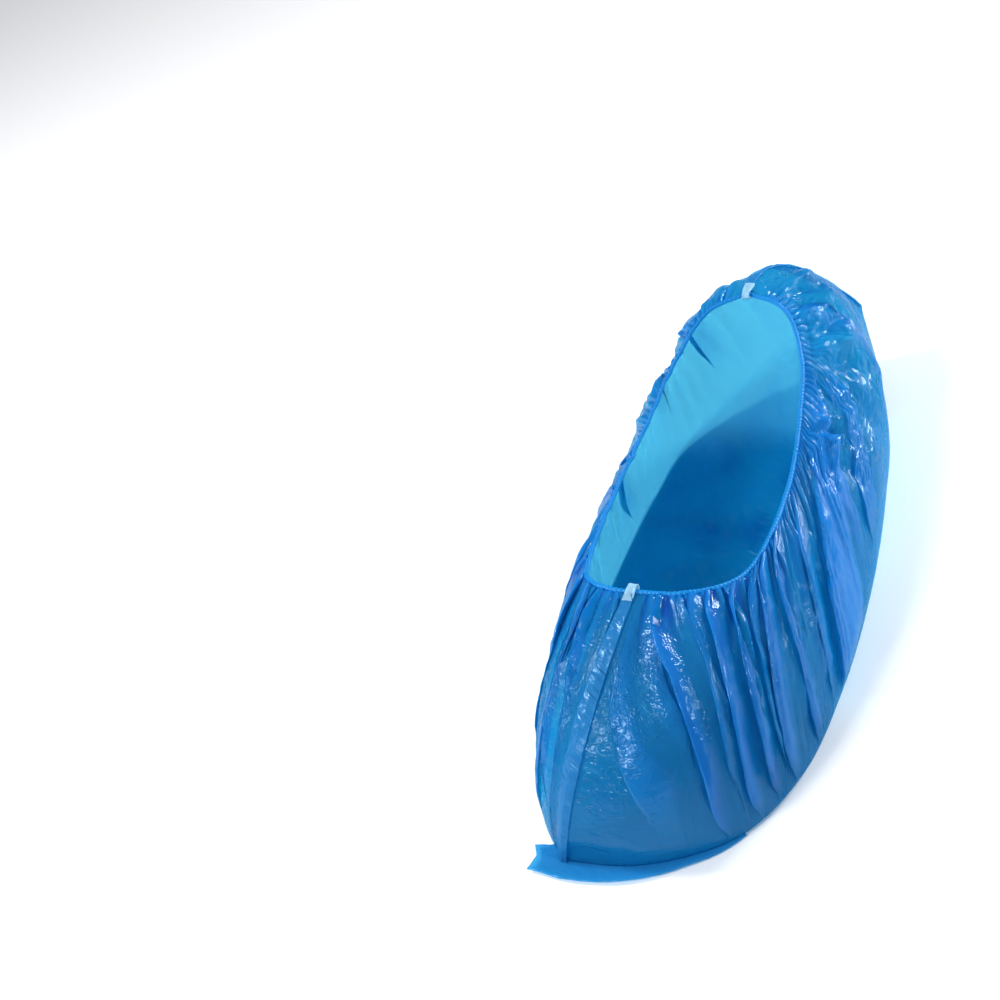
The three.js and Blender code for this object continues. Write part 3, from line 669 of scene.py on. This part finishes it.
def opening_line(half):
    """Points spaced evenly along one half of the opening, with the unit vectors of the film there."""
    at = np.interp(np.linspace(0, 1, STATIONS + 1), half["rim_share"], FINE)[None]
    down = np.zeros_like(at)
    downward, _, outward = side_frame(half, at, down)
    return rim_of(half, at)[0], downward[0], outward[0]


def elastic_cord():
    """A ring of ovals: centre + outward a cos(t) + upward b sin(t), where a and b follow a crest wave.

    From each ridge on, an oval's outward direction is mixed with that of the one before, for a few ovals.
    """
    lines = [opening_line(half) for half in HALVES.values()]
    centre, downward, outward = (np.concatenate([r, l[-2:0:-1]]) for r, l in zip(*lines))
    blend = np.exp(-((np.arange(len(centre)) % STATIONS) / 6.0) ** 2)[:, None]
    outward = unit(outward * (1 - 0.5 * blend) + 0.5 * blend * np.roll(outward, 1, axis=0))
    length = running_length(np.concatenate([centre, centre[:1]]))
    along = length[:-1] * round(length[-1] / ELASTIC_PITCH) / length[-1]
    turn = np.linspace(0, 2 * np.pi, SIDES, endpoint=False)
    swell = 1 + ELASTIC_SWELL * crest(along[:, None] + 0.5 * value_noise(along / 4, along * 0, 91)[:, None]
                                      + 0.10 * np.sin(turn))
    wander = 0.35 * value_noise(along / 3, along * 0, 92)
    centre = centre - downward * (GAP + ELASTIC_HEIGHT / 2 - ELASTIC_LAP)
    centre = centre + outward * (wander - ELASTIC_INSET)[:, None]
    across = outward[:, None] * (np.cos(turn) * ELASTIC_THICKNESS / 2)[:, None]
    upward = -downward[:, None] * (np.sin(turn) * ELASTIC_HEIGHT / 2)[:, None]
    points = centre[:, None] + (across + upward) * swell[..., None]
    number = np.arange(len(centre) * SIDES).reshape(-1, SIDES)
    ahead = np.roll(number, -1, axis=0)
    corners = np.stack([number, ahead, np.roll(ahead, -1, axis=1), np.roll(number, -1, axis=1)], axis=-1)
    around = np.linspace(0, np.pi * ELASTIC_HEIGHT, SIDES + 1)
    u = np.broadcast_to(length[:-1, None, None], corners.shape)
    v = np.stack([around[:-1], around[:-1], around[1:], around[1:]], axis=-1)
    flat = np.stack([u, np.broadcast_to(v, corners.shape)], axis=-1)
    return make_piece("elastic_edge", points.reshape(-1, 3), corners.reshape(-1, 4), flat.reshape(-1, 4, 2))


elastic_edge = elastic_cord()

# %% [markdown]
# ## Welded seams
#
# At the toe and the heel, the two halves are welded together. The weld is a flat double strip that lies
# along its ridge; its upper end is trapped under and over the elastic as a small tab, and at the toe its
# lower end spreads into a flat corner on the ground. All of these are thin plates, so one helper gives a
# grid of points a thickness and closes its edges, and each plate then needs only its own grid.


# %% A grid of points becomes a thin closed plate
def plate(grid, thickness):
    """Points and quads of a plate whose top is the grid; the bottom lies a thickness behind it."""
    rows, columns = grid.shape[:2]
    number = np.arange(rows * columns).reshape(rows, columns)
    top = quads_of(number).reshape(-1, 4)
    points = grid.reshape(-1, 3)
    count = len(points)
    below = points - thickness * point_normals(points, top)
    below[:, 2] = np.maximum(below[:, 2], GROUND)
    edge = np.concatenate([number[0, :-1], number[:-1, -1], number[-1, :0:-1], number[:0:-1, 0]])
    after = np.roll(edge, -1)
    wall = np.stack([edge, after, after + count, edge + count], axis=-1)
    return np.concatenate([points, below]), np.concatenate([top, top[:, ::-1] + count, wall])


def one_piece(name, plates):
    """Several plates as one object, with a flat map from y and z, each with half of x added."""
    points = np.concatenate([p for p, _ in plates])
    starts = np.cumsum([0] + [len(p) for p, _ in plates[:-1]])
    corners = np.concatenate([c + start for (_, c), start in zip(plates, starts)])
    flat = points[corners][..., [1, 2]] + points[corners][..., [0]] * 0.5
    return make_piece(name, points, corners, flat)


# %% The strip along a ridge
# The strip's greatest width, the thickness of its layers, and a small step of `at` away from the ridge.
SEAM_WIDTH = 8.0
SEAM_FILM = 0.35
BESIDE = 0.01


def seam_strip(at, right_share, rows=150, columns=15):
    """A ribbon along the ridge, `right_share` of it on the right half, lifted by crinkles that run along it.

    Its width is 0.55 + 0.45 sin(pi d) of SEAM_WIDTH: narrow at the opening and at the ground.
    """
    inwards = 1 if at == 0 else -1
    down = np.linspace(0.0, 1.0, rows)[:, None]
    width = SEAM_WIDTH * (0.55 + 0.45 * np.sin(np.pi * down))
    across = np.linspace(-right_share, 1 - right_share, columns)[None]
    lines = []
    for half, side in ((HALVES["left"], 1), (HALVES["right"], -1)):
        ridge = np.full_like(down, at)
        beside = plain_side(half, ridge + inwards * BESIDE, down)
        per_mm = BESIDE / np.linalg.norm(beside - plain_side(half, ridge, down), axis=-1)
        place = np.clip(at + inwards * per_mm * width * np.maximum(side * across, 0), 0, 1)
        deep = np.broadcast_to(down, place.shape)
        _, _, outward = side_frame(half, place, deep)
        lines.append((plain_side(half, place, deep), outward))
    on_left = (across >= 0)[..., None]
    plain = np.where(on_left, lines[0][0], lines[1][0])
    blend = ramp(across, -0.15, 0.15)[..., None]
    outward = unit(lines[0][1] * blend + lines[1][1] * (1 - blend))
    crinkle = 0.25 * crumple(down * 24 + 7, across * 2.0 + 0 * down, 61)
    lift = GAP + SEAM_FILM + 0.3 * np.abs(across) + crinkle
    grid = plain + outward * lift[..., None]
    grid[..., 2] = np.maximum(grid[..., 2], GROUND + SEAM_FILM)
    if inwards == 1:
        grid = grid[:, ::-1]
    return plate(grid, SEAM_FILM)


toe_strip = seam_strip(0.0, 0.5)
heel_strip = seam_strip(1.0, 0.25)
print(f"strips: {len(toe_strip[0])} and {len(heel_strip[0])} points")

# %% The tab over the elastic
# The tab's width, and how far it reaches down the outside of the film.
TAB_WIDTH = 4.7
TAB_LAP = 4.2


def tab(at, rows=36, columns=14):
    """A small sheet laid over the cord: up the outside, over its top in a half turn and down inside."""
    ridge_top = np.array([[at]]), np.array([[0.0]])
    left_down, _, left_out = side_frame(HALVES["left"], *ridge_top)
    _, _, right_out = side_frame(HALVES["right"], *ridge_top)
    outward = unit(left_out + right_out)[0, 0]
    upward = unit(-left_down)[0, 0]
    across = unit(np.cross(upward, outward))
    rise = GAP + ELASTIC_HEIGHT
    # Each pair is the height above the film's edge and the distance out of it, in millimetres.
    profile = np.array([
        (-TAB_LAP, 0.75), (-2.8, 0.85), (-1.2, 1.0), (0.3, 1.25), (rise * 0.6, 1.6), (rise + 1.1, 1.4),
        (rise + 1.9, 0.2), (rise + 1.5, -1.1), (rise * 0.55, -2.0), (-0.8, -1.9), (-2.2, -1.6),
    ])
    s = running_length(profile)
    where = np.linspace(0, s[-1], rows)
    up = np.interp(where, s, profile[:, 0])
    out = np.interp(where, s, profile[:, 1])
    side = np.linspace(-0.5, 0.5, columns)[None]
    up = up[:, None] + 0 * side
    out = out[:, None] + 0 * side
    width = TAB_WIDTH * (1 - 0.25 * np.exp(-((where - s[5]) / 3.0) ** 2))[:, None]
    out = out + 0.5 * crumple(side * 2.5 + 3, where[:, None] / 4, 71)
    centre = plain_side(HALVES["left"], *ridge_top)[0, 0]
    grid = centre + upward * up[..., None] + outward * out[..., None] + across * (side * width)[..., None]
    return plate(grid if at == 1 else grid[:, ::-1], SEAM_FILM)


toe_loop = tab(0.0)
heel_loop = tab(1.0)
print(f"tabs: {len(toe_loop[0])} and {len(heel_loop[0])} points")

# %% The flat corner at the toe
# The corners are shares of FLAP_REACH, from the end of the toe ridge. The lip stands out of the foot line by
# the margin, starts a little inside it, and goes this far round the left half and the right half.
FLAP_REACH = 15.0
FLAP_CORNERS = np.array([(-0.91, 0.35), (-0.73, 0.0), (-0.87, -0.46), (0.18, -0.60)])
FLAP_MARGIN = 9.5
FLAP_TUCKED = 1.0
FLAP_LEFT, FLAP_RIGHT = 0.045, 0.22


def flap(columns=150, rows=12):
    """The weld's corner on the ground, between the toe's foot line and an outer outline of straight edges.

    It rises by a crumple times v, the share of the way out, and by 0.8 v squared, less where it is narrow.
    """
    def edge(half, places, distance):
        """Points on the ground, a distance outside the foot line."""
        at = places[None]
        foot = foot_of(half, at)[0]
        _, _, outward = side_frame(half, at, np.ones_like(at))
        flat_out = outward[0] * [1, 1, 0]
        return (foot + unit(flat_out) * distance[:, None])[:, :2]

    left_at = np.linspace(FLAP_LEFT, 0.002, 30)
    right_at = np.linspace(0.002, FLAP_RIGHT, 40)
    inner = np.concatenate([
        edge(HALVES["left"], left_at, np.full(len(left_at), -FLAP_TUCKED)),
        edge(HALVES["right"], right_at, np.full(len(right_at), -FLAP_TUCKED)),
    ])
    toe = foot_of(HALVES["left"], np.zeros((1, 1)))[0, 0, :2]
    left_end = edge(HALVES["left"], left_at[:1], np.array([0.6]))
    right_margin = FLAP_MARGIN * (1 - np.linspace(0.12, 1, 20) ** 1.5) + 0.3
    right_end = edge(HALVES["right"], np.linspace(0.12, 1, 20) * FLAP_RIGHT, right_margin)
    outer = np.concatenate([left_end, toe + FLAP_CORNERS * FLAP_REACH, right_end])
    outer_place = np.concatenate([[0, 0.075, 0.15, 0.21], np.linspace(0.31, 1, 21)])
    inner_place = running_length(inner) / running_length(inner)[-1]
    where = np.linspace(0, 1, columns)
    inner = np.stack([np.interp(where, inner_place, inner[:, k]) for k in (0, 1)], axis=-1)
    outer = np.stack([np.interp(where, outer_place, outer[:, k]) for k in (0, 1)], axis=-1)
    v = np.linspace(0, 1, rows)[:, None]
    ground = inner + (outer - inner) * v[..., None]
    reach = np.linalg.norm(outer - inner, axis=-1)[None]
    wave = crumple(ground[..., 0] / 9 + 5, ground[..., 1] / 9, 81)
    height = GROUND + SEAM_FILM + 0.05 + (0.5 + 0.5 * wave) * v * np.minimum(reach / 8, 1.0) * 1.5
    height = height + 0.8 * v**2 * np.minimum(reach / 12, 1.0)
    grid = np.concatenate([ground, height[..., None]], axis=-1)
    return plate(grid[:, ::-1], SEAM_FILM)


toe_weld = one_piece("toe_weld", [toe_strip, flap()])
toe_tab = one_piece("toe_tab", [toe_loop])
heel_weld = one_piece("heel_weld", [heel_strip])
heel_tab = one_piece("heel_tab", [heel_loop])

# %% [markdown]
# ## Polyethylene film
#
# Blown polyethylene with a blue dye, embossed with a grid finer than a millimetre so that it doesn't cling.
# Light meets it in three ways: most passes straight through and turns bluer with every layer, some is
# scattered by the haze and the embossing, and a little glints from the creases. A plain glass shader would
# bend the light, which film this thin doesn't do, so the layers are mixed from a tinted see-through shader
# and a scattering one. The film's state, kept with its points, makes it bluer where it is folded double,
# paints shade into the valleys of the gathers as a darker and denser blue, and makes it more creased where
# it is loose. The other pieces have no state and are one plain layer.


# %% Small helpers for materials
def linear(code):
    """An sRGB colour written as six hex digits, as linear light with an alpha of 1."""
    channels = [int(code[i:i + 2], 16) / 255 for i in (1, 3, 5)]
    return [c / 12.92 if c <= 0.04045 else ((c + 0.055) / 1.055) ** 2.4 for c in channels] + [1.0]


def new_material(name):
    """An empty node tree and its output."""
    material = bpy.data.materials.new(name)
    material.use_nodes = True
    material.node_tree.nodes.clear()
    return material, material.node_tree, material.node_tree.nodes.new("ShaderNodeOutputMaterial")


def add(tree, kind, inputs=None, **settings):
    """Adds a node. An input takes a link or a value; a setting is the node's own or else a socket's value."""
    node = tree.nodes.new("ShaderNode" + kind)
    for name, value in settings.items():
        by_name = {s.name.lower(): s for s in reversed(node.inputs)}
        if hasattr(node, name):
            setattr(node, name, value)
        else:
            by_name[name.replace("_", " ").lower()].default_value = value
    for key, source in (inputs or {}).items():
        if isinstance(source, bpy.types.NodeSocket):
            tree.links.new(source, node.inputs[key])
        else:
            node.inputs[key].default_value = source
    return node


print("mid grey in linear light:", np.round(linear("#808080"), 3))

# %% Film
# In millimetres. The real grid is about 0.7 mm apart, too fine to show, so it is drawn at 1.3 mm. A facet's
# height is what it would reach a whole facet away from its edge.
EMBOSS_PITCH, EMBOSS_HEIGHT = 1.3, 0.045
WRINKLE_SIZE, WRINKLE_HEIGHT = 2.6, 0.6
FACET_SIZE, FACET_HEIGHT = 6.0, 1.5
# The middle of the stretched film over the toe, in metres, where the fine wrinkles stand highest.
TOE_TOP = (-0.016, -0.105, 0.045)
# How much of the scattered light comes through instead of back.
THROUGH_SHARE = 0.4


def wave_scale(pitch):
    """The scale at which a Wave texture, which turns 20 radians for each unit, repeats at this pitch."""
    return 2 * np.pi / (20 * pitch * MM)


def join_light(tree, output, tint, shine, glow):
    """Mixes light that comes back and light that comes through, and both with the see-through tint."""
    scatter = add(tree, "MixShader", {0: THROUGH_SHARE, 1: shine.outputs[0], 2: glow.outputs[0]})
    clear = add(tree, "BsdfTransparent", Color=linear(tint))
    film = add(tree, "MixShader", {1: clear.outputs[0], 2: scatter.outputs[0]})
    tree.links.new(film.outputs[0], output.inputs["Surface"])
    return film.inputs[0]


def film_material(name, tint, thin, thick, deep, through, opacity, rough, crinkle=1.0, emboss=1.0):
    """Tinted see-through film with haze, crinkles and an embossed grid on the film's own flat map.

    All heights are in millimetres and are added up before one Bump node makes them slopes.
    """
    material, tree, output = new_material(name)
    place = add(tree, "TexCoord")
    on_film = {"Vector": add(tree, "UVMap", uv_map="FilmMap").outputs["UV"]}
    state = add(tree, "Attribute", attribute_name="film_state_and_shade")
    layers, painted_valley_shade, loose = add(tree, "SeparateXYZ", {0: state.outputs["Vector"]}).outputs
    stacked = add(tree, "MapRange", {"Value": layers}, From_Min=1.0, From_Max=3.0)
    from_toe = add(tree, "VectorMath", {0: place.outputs["Object"], 1: TOE_TOP}, operation="DISTANCE")
    at_toe = add(tree, "MapRange", {"Value": from_toe.outputs["Value"]}, From_Min=0.025, From_Max=0.06,
                 To_Min=WRINKLE_HEIGHT * crinkle, To_Max=0.12 * WRINKLE_HEIGHT * crinkle,
                 interpolation_type="SMOOTHSTEP")
    wrinkles = add(tree, "TexNoise", on_film, noise_dimensions="2D", noise_type="RIDGED_MULTIFRACTAL",
                   Scale=1 / (WRINKLE_SIZE * MM), Detail=2.0, Roughness=0.55, Distortion=0.8)
    wrinkle_height = add(tree, "Math", {0: wrinkles.outputs["Fac"], 1: at_toe.outputs["Result"]},
                         operation="MULTIPLY")
    cells = add(tree, "TexVoronoi", on_film, voronoi_dimensions="2D", feature="DISTANCE_TO_EDGE",
                Scale=1 / (FACET_SIZE * MM))
    steepness = add(tree, "MapRange", {"Value": loose}, To_Min=0.25 * FACET_HEIGHT * crinkle,
                    To_Max=FACET_HEIGHT * crinkle)
    facet_height = add(tree, "Math", {0: cells.outputs["Distance"], 1: steepness.outputs["Result"],
                                      2: wrinkle_height.outputs["Value"]}, operation="MULTIPLY_ADD")
    pitch = wave_scale(EMBOSS_PITCH)
    u, v = (add(tree, "TexWave", on_film, bands_direction=way, Scale=pitch) for way in "XY")
    grid = add(tree, "Math", {0: u.outputs["Fac"], 1: v.outputs["Fac"]}, operation="MULTIPLY")
    height = add(tree, "Math", {0: grid.outputs["Value"], 1: EMBOSS_HEIGHT * emboss,
                                2: facet_height.outputs["Value"]}, operation="MULTIPLY_ADD")
    relief = add(tree, "Bump", {"Height": height.outputs["Value"]}, Strength=1.0, Distance=MM)
    blue = add(tree, "Mix", {"Factor": stacked.outputs["Result"], "A": linear(thin), "B": linear(thick)},
               data_type="RGBA")
    # Painted shade: in the valleys of the gathers the colour is mixed towards the deep blue and the film is
    # made denser.
    shaded = add(tree, "Mix", {"Factor": painted_valley_shade, "A": blue.outputs[2], "B": linear(deep)}, data_type="RGBA")
    layers_and_shade = add(tree, "Math", {0: stacked.outputs["Result"], 1: painted_valley_shade}, operation="MAXIMUM")
    solid = add(tree, "MapRange", {"Value": layers_and_shade.outputs["Value"]}, To_Min=opacity, To_Max=0.5 + opacity / 2)
    shine = add(tree, "BsdfPrincipled", {"Normal": relief.outputs["Normal"], "Base Color": shaded.outputs[2]},
                Roughness=rough, IOR=1.5, Specular_IOR_Level=0.8, Specular_Tint=linear("#bce4ff"))
    glow = add(tree, "BsdfTranslucent", {"Normal": relief.outputs["Normal"]}, Color=linear(through))
    tree.links.new(solid.outputs["Result"], join_light(tree, output, tint, shine, glow))
    return material


def inner_material(name, tint, body, through, opacity):
    """The inner face of the film: a tint and haze with wide crumples, because the outer face has the rest."""
    material, tree, output = new_material(name)
    on_film = {"Vector": add(tree, "UVMap", uv_map="FilmMap").outputs["UV"]}
    cells = add(tree, "TexVoronoi", on_film, voronoi_dimensions="2D", feature="DISTANCE_TO_EDGE",
                Scale=1 / (1.6 * FACET_SIZE * MM))
    relief = add(tree, "Bump", {"Height": cells.outputs["Distance"]}, Distance=1.6 * FACET_HEIGHT * MM)
    shine = add(tree, "BsdfPrincipled", {"Normal": relief.outputs["Normal"]}, Base_Color=linear(body),
                Roughness=0.18, IOR=1.5)
    glow = add(tree, "BsdfTranslucent", Color=linear(through))
    join_light(tree, output, tint, shine, glow).default_value = opacity
    return material


# Blown film: clear cyan where it is single, strong blue where it is gathered, with sharp glints on creases.
# The fourth colour, deep blue, is painted shade for the valleys of the gathers.
bag_film = film_material("embossed_polyethylene_film", "#86dcea", "#2298cc", "#1f92f0", "#0c4eb8", "#34b6ea",
                         0.42, 0.1)
# The same film from inside: clearer and paler, with the light of the far side coming through.
bag_inside = inner_material("inner_face_of_film", "#bceef6", "#0a98d0", "#20b8ec", 0.3)
# Film bunched tightly over elastic: nearly solid blue, and duller, because its folds are so fine.
edge_film = film_material("bunched_film_over_elastic", "#7fcce6", "#10a0ea", "#10a0ea", "#0f74c4", "#34b8f4",
                          0.75, 0.35, 0.5)
# Two layers melted into one: paler than the bag and glossy, with small crinkles all over.
weld_film = film_material("welded_double_film", "#90daf0", "#40a8e0", "#40a8e0", "#0f74c4", "#58c4f2",
                          0.46, 0.14, 1.4)
# Film stretched and folded over itself: it whitens where it is strained, and is nearly solid.
tab_film = film_material("whitened_folded_film", "#c9e9f8", "#b8e4f6", "#b8e4f6", "#6ab4f0", "#cdeefb",
                         0.75, 0.2, 1.3)
print("finishes:", ", ".join(m.name for m in (bag_film, bag_inside, edge_film, weld_film, tab_film)))

# %% Each piece takes its place in the frame
for piece, material, nodes, slot in (
    (film_body, bag_film, ["film_body"], "blue_film"),
    (elastic_edge, edge_film, ["elastic_rim"], "elastic_edge"),
    (toe_weld, weld_film, ["toe_seam"], "welded_film"),
    (toe_tab, tab_film, ["toe_seam"], "welded_film"),
    (heel_weld, weld_film, ["heel_seam"], "welded_film"),
    (heel_tab, tab_film, ["heel_seam"], "welded_film"),
):
    piece.data.materials.append(material)
    if piece is film_body:
        piece.data.materials.append(bag_inside)
    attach(piece, "root")
    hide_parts(*nodes)
    print(f"{piece.name} stands for {', '.join(nodes)}")

# %% [markdown]
# ## Floor, light and camera
#
# A plain pale floor runs far out of view under pale surroundings. A glossy film shows its shape by what it
# mirrors, so there are four soft lights: one high on the left and one in front for the toe, a strong one
# low behind for the crumples at the heel, and a weak one on the right for the long pleats.

# %% Stage
# The floor reaches 3 m each way, and lies 0.05 mm below the film so that they never share a place.
FLOOR_REACH = 3.0
FLOOR_DROP = 0.05
floor_corners = [(-1, -1), (1, -1), (1, 1), (-1, 1)]
floor_points = [(x * FLOOR_REACH, y * FLOOR_REACH, (GROUND - FLOOR_DROP) * MM) for x, y in floor_corners]
floor_mesh = bpy.data.meshes.new("floor")
floor_mesh.from_pydata(floor_points, [], [(0, 1, 2, 3)])
material, tree, output = new_material("pale_floor")
paper = add(tree, "BsdfPrincipled", Base_Color=linear("#fbfbfc"), Roughness=0.7)
tree.links.new(paper.outputs[0], output.inputs["Surface"])
floor_mesh.materials.append(material)
in_scene("floor", floor_mesh)

world = bpy.data.worlds.new("studio")
bpy.context.scene.world = world
world.use_nodes = True
tree = world.node_tree
tree.nodes.clear()
sky = add(tree, "TexCoord")
upwards = add(tree, "SeparateXYZ", {0: sky.outputs["Generated"]})
brightness = add(tree, "MapRange", {"Value": upwards.outputs["Z"]}, From_Min=-0.1, From_Max=0.9,
                 To_Min=0.14, To_Max=0.5)
studio = add(tree, "Background", {"Strength": brightness.outputs["Result"]}, Color=linear("#f4f7fb"))
add(tree, "OutputWorld", {"Surface": studio.outputs[0]})


def soft_light(name, place, target, size, power):
    """A square area light that faces its target."""
    light = bpy.data.lights.new(name, "AREA")
    light.size = size
    light.energy = power
    lamp = in_scene(name, light)
    lamp.location = place
    lamp.rotation_euler = (Vector(target) - Vector(place)).to_track_quat("-Z", "Y").to_euler()
    print(f"{name} light: {power} W")


MIDDLE = (0.0, 0.02, 0.04)
soft_light("key", (-0.75, -0.10, 0.95), MIDDLE, 0.22, 8.5)
soft_light("front", (-0.42, -0.82, 0.88), MIDDLE, 0.3, 9)
soft_light("back", (0.62, 1.00, 0.42), MIDDLE, 0.32, 16)
soft_light("side", (1.15, 0.25, 0.45), MIDDLE, 0.22, 3.5)

# %% Camera
# Its place and directions were worked out from the photograph's perspective.
CAMERA_PLACE = (0.2515, -0.4605, 0.5171)
CAMERA_RIGHT = (0.8843, 0.3477, -0.3115)
CAMERA_UP = (-0.0150, 0.6881, 0.7255)
CAMERA_FORWARD = (-0.4666, 0.6369, -0.6137)
lens = bpy.data.cameras.new("camera")
lens.lens = 57.77
lens.sensor_width = 36
camera = in_scene("camera", lens)
axes = [Vector(CAMERA_RIGHT).normalized(), Vector(CAMERA_UP).normalized(),
        -Vector(CAMERA_FORWARD).normalized()]
camera.matrix_world = Matrix.Translation(CAMERA_PLACE) @ Matrix(axes).transposed().to_4x4()
bpy.context.scene.camera = camera
print(f"camera: {lens.lens:.1f} mm lens, {CAMERA_PLACE[2]:.2f} m up")

# %% How far light is followed
# Film lies in many layers, so a ray may pass through ten of them, but a few bounces are enough.
cycles = bpy.context.scene.cycles
cycles.max_bounces = 6
cycles.diffuse_bounces = 2
cycles.glossy_bounces = 2
cycles.transmission_bounces = 3
cycles.transparent_max_bounces = 10
cycles.caustics_reflective = False
bpy.context.scene.view_settings.view_transform = "Standard"
print(f"layers that a ray may pass: {cycles.transparent_max_bounces}")
